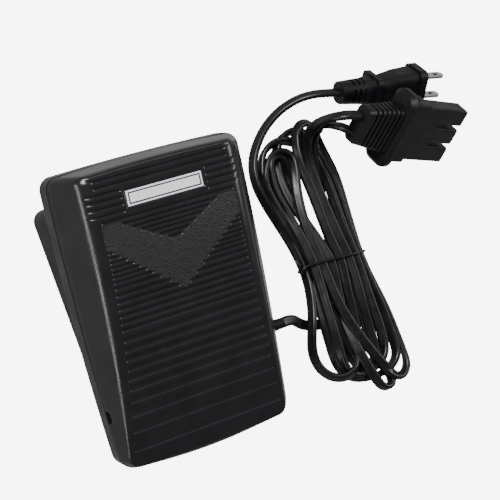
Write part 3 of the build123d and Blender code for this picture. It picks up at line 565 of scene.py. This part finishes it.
# Every strand of the hank from its top end to its bottom end: x, y, z in millimetres and the
# twist of the flat section in degrees, 0 lying flat and 90 on edge.
STRANDS = {
    1: [(84, 63.5, 3.1, 60), (81.5, 50, 3.1, 60), (84, 37, 3.0, 50), (87.6, 25, 3.0, 40),
        (91.3, 12, 3.4, 35), (93.2, 0, 4.2, 40), (93.6, -10, 4.8, 50)],
    2: [(88.8, 60.5, 4.4, 88), (86.4, 53, 4.2, 75), (86.4, 45, 4.0, 65), (87.6, 36, 3.8, 50),
        (89.6, 26, 3.2, 30), (92.4, 15, 2.6, 20), (95.5, 4, 2.2, 10), (98.5, -7, 2.1, 5),
        (99.8, -18, 2.8, 10), (100.9, -29.5, 4.4, 15), (102.4, -40.5, 5.4, 20), (104.6, -49.4, 4.2, 25),
        (105.4, -58.4, 3.0, 50)],
    3: [(89.5, 57, 6.2, 88), (86.6, 51.5, 5.8, 70), (86.2, 45, 5.4, 55), (87.4, 37, 5.4, 40),
        (89.8, 27, 5.4, 25), (93, 16, 5.4, 20), (97, 4, 5.4, 20), (100, -7, 5.4, 20), (97.5, -18, 5.4, 20),
        (95.5, -29, 5.6, 22), (94.6, -40, 5.8, 24), (94.6, -51, 4.8, 35), (94.8, -62, 3.6, 60)],
    4: [(92, 52.5, 6.0, 85), (90.8, 45.5, 5.6, 70), (91.4, 37, 6.0, 55), (93, 28, 7.0, 35),
        (95.2, 17, 8.2, 24), (97.2, 5, 8.8, 20), (98.5, -7, 8.8, 20), (98.3, -18, 8.8, 20),
        (97.6, -30, 9.0, 24), (97.4, -42, 9.0, 28), (97.6, -53, 7.8, 36), (98, -63, 6.4, 60)],
    5: [(107.4, 57.5, 8.2, -64), (105.6, 50, 9.0, -40), (103, 41, 9.2, -28), (101.4, 31, 9.4, -24),
        (100.8, 20, 9.4, -22), (101.4, 9, 9.4, -20), (103.6, -6, 9.4, -20), (104.2, -17, 9.6, -22),
        (105.2, -28, 9.9, -24), (107.6, -39.5, 10.2, -26), (111.4, -51, 10.4, -28), (116, -61.8, 10.2, -30),
        (120.3, -70.6, 9.6, -36)],
    6: [(101.5, 66, 3.1, 62), (99, 57, 2.6, 35), (98.6, 46, 2.4, 20), (100, 33, 3.8, 15),
        (104, 19, 5.6, 15), (108, 5, 7.4, 20), (110.3, -7, 8.6, 24), (109.8, -17, 7.0, 24),
        (109, -27.5, 6.2, 24), (107.9, -37, 6.2, 24), (107.0, -46, 7.0, 26), (108, -55, 8.4, 28),
        (109.5, -64, 9.6, 30), (111.8, -72, 9.2, 34), (114.5, -79, 8.0, 46)],
    7: [(112.4, 68.5, 9.6, -62), (110.6, 61, 9.8, -52), (110.2, 53, 10, -42), (110.8, 44, 10, -32),
        (111.8, 34, 9.8, -26), (112.6, 22, 9.6, -24), (113.4, 9, 9.2, -20), (116.3, -6.5, 8.9, -15),
        (115.4, -16, 8.7, -10), (114.5, -25.3, 8.2, -8), (114.6, -35.5, 7.0, -6), (114, -45.6, 5.6, 0)],
    8: [(115.6, 57, 10.8, -45), (115.4, 46, 10, -35), (116.4, 34, 9.6, -28), (118, 20, 9.4, -24),
        (119.8, 6, 9.1, -20), (122, -7, 8.9, -20), (121.9, -17.1, 8.8, -22), (121.7, -28.3, 8.4, -24),
        (121.7, -38.8, 7.2, -24), (122, -49.3, 5.8, -20), (121.8, -59, 5.0, -20), (121.6, -68.5, 4.4, 0)],
    9: [(121, 57, 8.4, -40), (120.6, 46, 5.6, -25), (119.8, 34, 4.2, -20), (118.6, 22, 3.2, -10),
        (116.6, 8, 2.3, 0), (116.4, -7, 2.1, 0), (119, -19, 2.1, 0), (122, -31, 2.1, 0),
        (122.1, -42, 2.1, 0), (122.3, -52.6, 2.3, -15), (122, -62, 3.0, -60)],
    10: [(103.4, 55, 4.6, -66), (103.6, 46, 2.8, -30), (104.2, 35, 2.2, -10), (105.2, 22, 2.1, 0),
         (106.4, 8, 2.1, 0), (107, -7, 2.1, 0), (108, -20, 2.1, 0), (107.4, -31, 2.1, 10)],
    11: [(122.0, 61.5, 7.2, -60), (123.2, 52, 7.8, -55), (124.3, 43, 8.0, -50), (124.8, 32, 8.2, -46),
         (124.8, 20, 8.3, -44), (125.2, 7, 8.3, -42), (126.6, -7, 8.2, -40), (127, -20, 8.2, -40),
         (127.2, -32.8, 8.0, -42), (128, -44.8, 7.4, -34), (128.4, -57, 6.6, -36)],
    12: [(125.6, 56, 7.4, -60), (127.6, 46, 7.5, -60), (129, 35, 7.5, -60), (129.2, 24, 7.4, -55),
         (128.9, 13, 7.2, -55), (129.2, 2, 7.0, -50), (129.8, -8, 6.9, -50), (130.6, -18, 6.8, -46),
         (131.9, -28.4, 6.6, -44), (134.2, -39.9, 6.0, -48), (134.8, -50.9, 5.2, -38),
         (136, -61.5, 4.4, -48)],
    13: [(128.6, 69.2, 5.8, -76), (130, 61, 5.0, -75), (132, 52, 4.8, -72), (133.7, 43, 4.6, -68),
         (134.1, 33, 4.4, -66), (133.7, 22, 4.2, -66), (133.2, 10, 4.2, -66), (132.9, -3, 4.2, -66),
         (133.8, -15.9, 4.2, -68), (136, -28.1, 4.2, -66), (138.2, -39.3, 4.2, -62), (139.3, -49, 4.2, -58),
         (139.9, -59.5, 4.4, -60), (139.9, -69.2, 4.8, -72)],
}
# the strand that has worked loose at the lower left, from the waist round to the other side
LOOSE_STRAND = [(91.8, -20, 6.2, 60), (88.3, -30.7, 8.0, 65), (84.3, -40.9, 8.0, 60),
                (81.9, -51.8, 4.6, 55), (83.4, -61.4, 3.0, 60), (87.9, -68.8, 4.5, 60),
                (95, -72.2, 7.0, 50), (102, -70.6, 8.4, 45), (107.8, -65.6, 7.0, 40),
                (112.2, -56.4, 4.8, 20)]
# bends between two strands, named by the strands that they join
TOE_BENDS = {
    "7-13": [(115, 73.4, 9.2, -58), (119.6, 76.2, 8.2, -44), (124.4, 76.2, 7.0, -50),
            (127.6, 73.6, 6.2, -68)],
    "5-3": [(105.4, 61.8, 7.4, -66), (101.5, 63.8, 6.8, -64), (97, 63.4, 6.6, -68), (92.8, 61, 6.4, -80)],
    "12-2": [(122.8, 61.5, 6.2, -58), (118.6, 65, 4.9, -56), (113, 67.2, 4.6, -56), (107.4, 69.4, 5.2, -58),
             (101.6, 70, 6.0, -62), (96, 68.6, 5.6, -70), (91.6, 65.4, 4.8, -82)],
    "11-6": [(120.8, 71, 5.6, -62), (116.2, 74, 3.9, -64), (110.6, 73.4, 3.6, -76), (105.6, 71.4, 3.4, -98)],
    "4-10": [(92.6, 57.4, 6.3, -84), (95.4, 60.6, 6.5, -76), (99.6, 61, 6.3, -68), (102.6, 58.8, 5.6, -66)],
}
HEEL_BENDS = {
    "13-5": [(139, -76.5, 5.6, -90), (135.1, -81.3, 6.4, -104), (129.3, -82.2, 7.6, -128),
            (124.3, -77.4, 8.8, -168)],
    "3-12": [(97.4, -70, 3.4, 80), (103, -75, 3.2, 90), (111, -77.4, 3.2, 90), (120, -77.6, 3.2, 92),
             (128.8, -76, 3.3, 98), (135.2, -70.4, 3.8, 112)],
    "2-9": [(106.6, -66, 3.2, 80), (109, -71.4, 3.2, 90), (114.6, -72.8, 3.2, 94), (119.8, -69.4, 3.2, 100)],
    "4-11": [(100.2, -70, 5.8, 80), (105.5, -73.8, 5.2, 90), (112.6, -73.4, 5.2, 94), (120.6, -71.8, 5.4, 98),
             (126.8, -66, 5.8, 122)],
    "6-8": [(116.8, -83.4, 7.0, 60), (120.2, -86, 6.5, 75), (124, -85.4, 6.0, 95), (126, -82, 5.4, 115),
            (125.8, -78, 4.8, 135), (124, -73.6, 4.3, 155)],
}

# the machine connector's own frame, as in the CAD part: X runs from its back towards its fingers
CONNECTOR_X = Vector((0.922, -0.20, -0.331)).normalized()
CONNECTOR_Z = Vector((-0.061, 0.769, -0.637)).normalized()
CONNECTOR_Z = (CONNECTOR_Z - CONNECTOR_X * CONNECTOR_Z.dot(CONNECTOR_X)).normalized()
CONNECTOR_Y = CONNECTOR_Z.cross(CONNECTOR_X)
CONNECTOR_AT = Vector((134.8, 63.2, 43.5))


def at_connector(x, y):
    p = CONNECTOR_AT + CONNECTOR_X * x + CONNECTOR_Y * y
    return p.x, p.y, p.z


def followed(points, last):
    """The points again, each twist moved by half turns until it is within a quarter turn of the last."""
    out = []
    for x, y, z, twist in points:
        if last is not None:
            while twist - last > 90:
                twist -= 180
            while twist - last < -90:
                twist += 180
        last = twist
        out.append((x, y, z, twist))
    return out


def route_of(parts):
    points = []
    for part in parts:
        points += followed(part, points[-1][3] if points else None)
    return points


PEDAL_LEAD = [(68, -30.5, 8.8, 0), (75, -29.8, 6.8, 0), (81, -34.8, 3.4, 0), (87, -37.4, 2.2, 0),
              (95, -39, 2.0, 0), (102, -38, 2.0, 10)]
PLUG_LEAD = [(146.6, 86.6, 18.0, 40), (138, 88.6, 17, 42), (129, 90.6, 14, 45), (119.6, 90.4, 9.2, 50),
             (107.4, 86.2, 4.8, 55), (94.5, 77, 3.2, 60)]
LEAD_A = [(116.3, 65.6, 14.5, -45), (117.4, 69.8, 21, -44), (118.9, 71.6, 30, -40), (121.4, 71.4, 39, -34),
          (125.4, 70.2, 45, -28), (131, 68.8, 47.4, -24), (*at_connector(2, -6), -22)]
LEAD_B = [(122, 67, 13, -45), (123.3, 70, 21, -45), (124.1, 69.4, 28.6, -40), (126.2, 66.8, 34.6, -30),
          (129.4, 63.8, 38, -24), (*at_connector(2, 6), -22)]

# A strand that is listed backwards is followed from its bottom end up.
MACHINE_ROUTE = route_of([
    PEDAL_LEAD, STRANDS[10][::-1], TOE_BENDS["4-10"][::-1], STRANDS[4], HEEL_BENDS["4-11"], STRANDS[11][::-1],
    TOE_BENDS["11-6"], STRANDS[6], HEEL_BENDS["6-8"], STRANDS[8][::-1], LEAD_A,
])
MAINS_ROUTE = route_of([
    PLUG_LEAD, STRANDS[1], LOOSE_STRAND, STRANDS[7][::-1], TOE_BENDS["7-13"], STRANDS[13], HEEL_BENDS["13-5"],
    STRANDS[5][::-1], TOE_BENDS["5-3"], STRANDS[3], HEEL_BENDS["3-12"], STRANDS[12][::-1], TOE_BENDS["12-2"],
    STRANDS[2], HEEL_BENDS["2-9"], STRANDS[9][::-1], LEAD_B,
])


def cord_section():
    """Closed outline of the flat twin section, waisted between its two cores."""
    curve = bpy.data.curves.new("cord_section", "CURVE")
    curve.dimensions = "2D"
    spline = curve.splines.new("POLY")
    r = CORD_T / 2
    reach = CORD_W / 2 - r
    outline = []
    for side in (1, -1):
        for k in range(11):
            angle = radians(-100 + 20 * k)
            outline.append((side * reach + side * r * cos(angle), side * r * sin(angle)))
        outline.append((side * 0.25, side * r * 0.95))
        outline.append((-side * 0.25, side * r * 0.95))
    spline.points.add(len(outline) - 1)
    for point, (x, y) in zip(spline.points, outline):
        point.co = (x * MM, y * MM, 0, 1)
    spline.use_cyclic_u = True
    obj = link(bpy.data.objects.new("cord_section", curve))
    obj.hide_render = True
    obj.hide_viewport = True
    return obj


SECTION = cord_section()


def make_cord(name, route):
    curve = bpy.data.curves.new(name, "CURVE")
    curve.dimensions = "3D"
    curve.twist_mode = "Z_UP"
    spline = curve.splines.new("NURBS")
    spline.points.add(len(route) - 1)
    for point, (x, y, z, twist) in zip(spline.points, route):
        point.co = (x * MM, y * MM, z * MM, 1)
        point.tilt = radians(twist)
    spline.order_u = 3
    spline.use_endpoint_u = True
    spline.resolution_u = 10
    spline.use_smooth = True
    curve.bevel_mode = "OBJECT"
    curve.bevel_object = SECTION
    curve.use_fill_caps = True
    curve.materials.append(CORD_BLACK)
    return link(bpy.data.objects.new(name, curve))


def line_length(obj):
    bare = obj.data.copy()
    bare.bevel_mode = "ROUND"
    holder = bpy.data.objects.new("bare", bare)
    mesh = bpy.data.meshes.new_from_object(holder)
    line = np.array([v.co for v in mesh.vertices])
    bpy.data.meshes.remove(mesh)
    bpy.data.curves.remove(bare)
    return float(np.linalg.norm(np.diff(line, axis=0), axis=1).sum())


machine_cord = make_cord("machine_cord", MACHINE_ROUTE)
mains_cord = make_cord("mains_cord", MAINS_ROUTE)
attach(machine_cord, "root")
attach(mains_cord, "root")
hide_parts("pedal_cord", "connector_lead_a", "cord_hank")
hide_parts("plug_lead", "loose_strand", "connector_lead_b")


def make_tie():
    """The wire round the hank's waist, its ends twisted together at the left."""
    curve = bpy.data.curves.new("wire_tie", "CURVE")
    curve.dimensions = "3D"
    spline = curve.splines.new("NURBS")
    points = [
        (89.4, -8.6, 8.4), (89.0, -6.2, 10.4), (91.6, -4.4, 11.4), (96.6, -4.4, 12.3),
        (110, -5.0, 12.4), (122, -5.6, 12.2), (130, -6, 11.4), (134, -6, 8.6), (134.8, -6, 5),
        (133, -6, 1.4), (122, -6.2, 0.8), (105, -6.4, 0.8), (95, -6.6, 0.9), (90.2, -6.4, 3),
        (89, -5.6, 7), (89.6, -3.6, 9.6), (88.6, -1.2, 9.8), (87.8, 1.0, 8.6),
    ]
    spline.points.add(len(points) - 1)
    for point, (x, y, z) in zip(spline.points, points):
        point.co = (x * MM, y * MM, z * MM, 1)
    spline.order_u = 3
    spline.use_endpoint_u = True
    spline.resolution_u = 8
    curve.bevel_depth = 0.75 * MM
    curve.bevel_resolution = 5
    curve.use_fill_caps = True
    curve.materials.append(CORD_BLACK)
    tie = link(bpy.data.objects.new("wire_tie", curve))
    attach(tie, "root")
    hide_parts("cord_tie")
    return tie


tie = make_tie()

round(line_length(machine_cord), 2)
round(line_length(mains_cord), 2)

# ---------------------------------------------------------------- floor, lights, camera
FLOOR_HALF = 6
FLOOR_SEEN, FLOOR_GLOW = 7.0, 0.35


def make_floor():
    """A plain white floor."""
    h = FLOOR_HALF
    mesh = bpy.data.meshes.new("floor")
    mesh.from_pydata([(-h, -h, 0), (h, -h, 0), (h, h, 0), (-h, h, 0)], [], [(0, 1, 2, 3)])
    material = bpy.data.materials.new("floor_white")
    material.use_nodes = True
    tree = material.node_tree
    shader = tree.nodes["Principled BSDF"]
    shader.inputs["Base Color"].default_value = (0.12, 0.12, 0.12, 1)
    shader.inputs["Roughness"].default_value = 0.9
    shader.inputs["Specular IOR Level"].default_value = 0.0
    shader.inputs["Emission Color"].default_value = (1, 1, 1, 1)
    # bright where it is looked at, calmer where it lights and mirrors in the black plastic
    path = tree.nodes.new("ShaderNodeLightPath")
    glow = tree.nodes.new("ShaderNodeMath")
    glow.operation = "MULTIPLY_ADD"
    glow.inputs[1].default_value = FLOOR_SEEN
    glow.inputs[2].default_value = FLOOR_GLOW
    tree.links.new(path.outputs["Is Camera Ray"], glow.inputs[0])
    tree.links.new(glow.outputs[0], shader.inputs["Emission Strength"])
    mesh.materials.append(material)
    floor = link(bpy.data.objects.new("floor", mesh))


make_floor()


def softbox(name, place, target, width, height, power):
    data = bpy.data.lights.new(name, "AREA")
    data.shape = "RECTANGLE"
    data.size, data.size_y = width, height
    data.energy = power
    light = link(bpy.data.objects.new(name, data))
    light.location = place
    light.rotation_euler = (Vector(target) - Vector(place)).to_track_quat("-Z", "Y").to_euler()
    return light


def make_world(colour, strength):
    world = bpy.data.worlds.new("studio")
    bpy.context.scene.world = world
    world.use_nodes = True
    background = world.node_tree.nodes["Background"]
    background.inputs["Color"].default_value = colour
    background.inputs["Strength"].default_value = strength


make_world((0.95, 0.96, 1.0, 1), 0.20)

MIDDLE = (0.03, 0.0, 0.02)
softbox("key_box", (-0.42, 0.55, 1.10), MIDDLE, 0.5, 0.5, 19)
softbox("left_box", (-1.25, -0.1, 0.46), MIDDLE, 1.5, 0.16, 9)
softbox("toe_box", (0.1, 1.1, 0.9), MIDDLE, 1.4, 0.4, 3)
softbox("right_box", (1.1, 0.1, 0.8), MIDDLE, 0.8, 0.35, 7)

CAMERA_AT = (-0.2693, -0.0091, 0.7008)
CAMERA_RIGHT = Vector((0.86135, -0.30981, 0.40262))
CAMERA_FORWARD = Vector((0.43224, 0.03051, -0.90125))
CAMERA_LENS, CAMERA_SENSOR = 97.7, 36


def make_camera():
    data = bpy.data.cameras.new("camera")
    data.lens = CAMERA_LENS
    data.sensor_width = CAMERA_SENSOR
    data.clip_start, data.clip_end = 0.01, 20
    camera = link(bpy.data.objects.new("camera", data))
    forward = CAMERA_FORWARD.normalized()
    right = CAMERA_RIGHT.normalized()
    right = (right - forward * right.dot(forward)).normalized()
    upward = right.cross(forward)
    camera.matrix_world = Matrix((
        (right.x, upward.x, -forward.x, CAMERA_AT[0]),
        (right.y, upward.y, -forward.y, CAMERA_AT[1]),
        (right.z, upward.z, -forward.z, CAMERA_AT[2]),
        (0, 0, 0, 1),
    ))
    bpy.context.scene.camera = camera


make_camera()
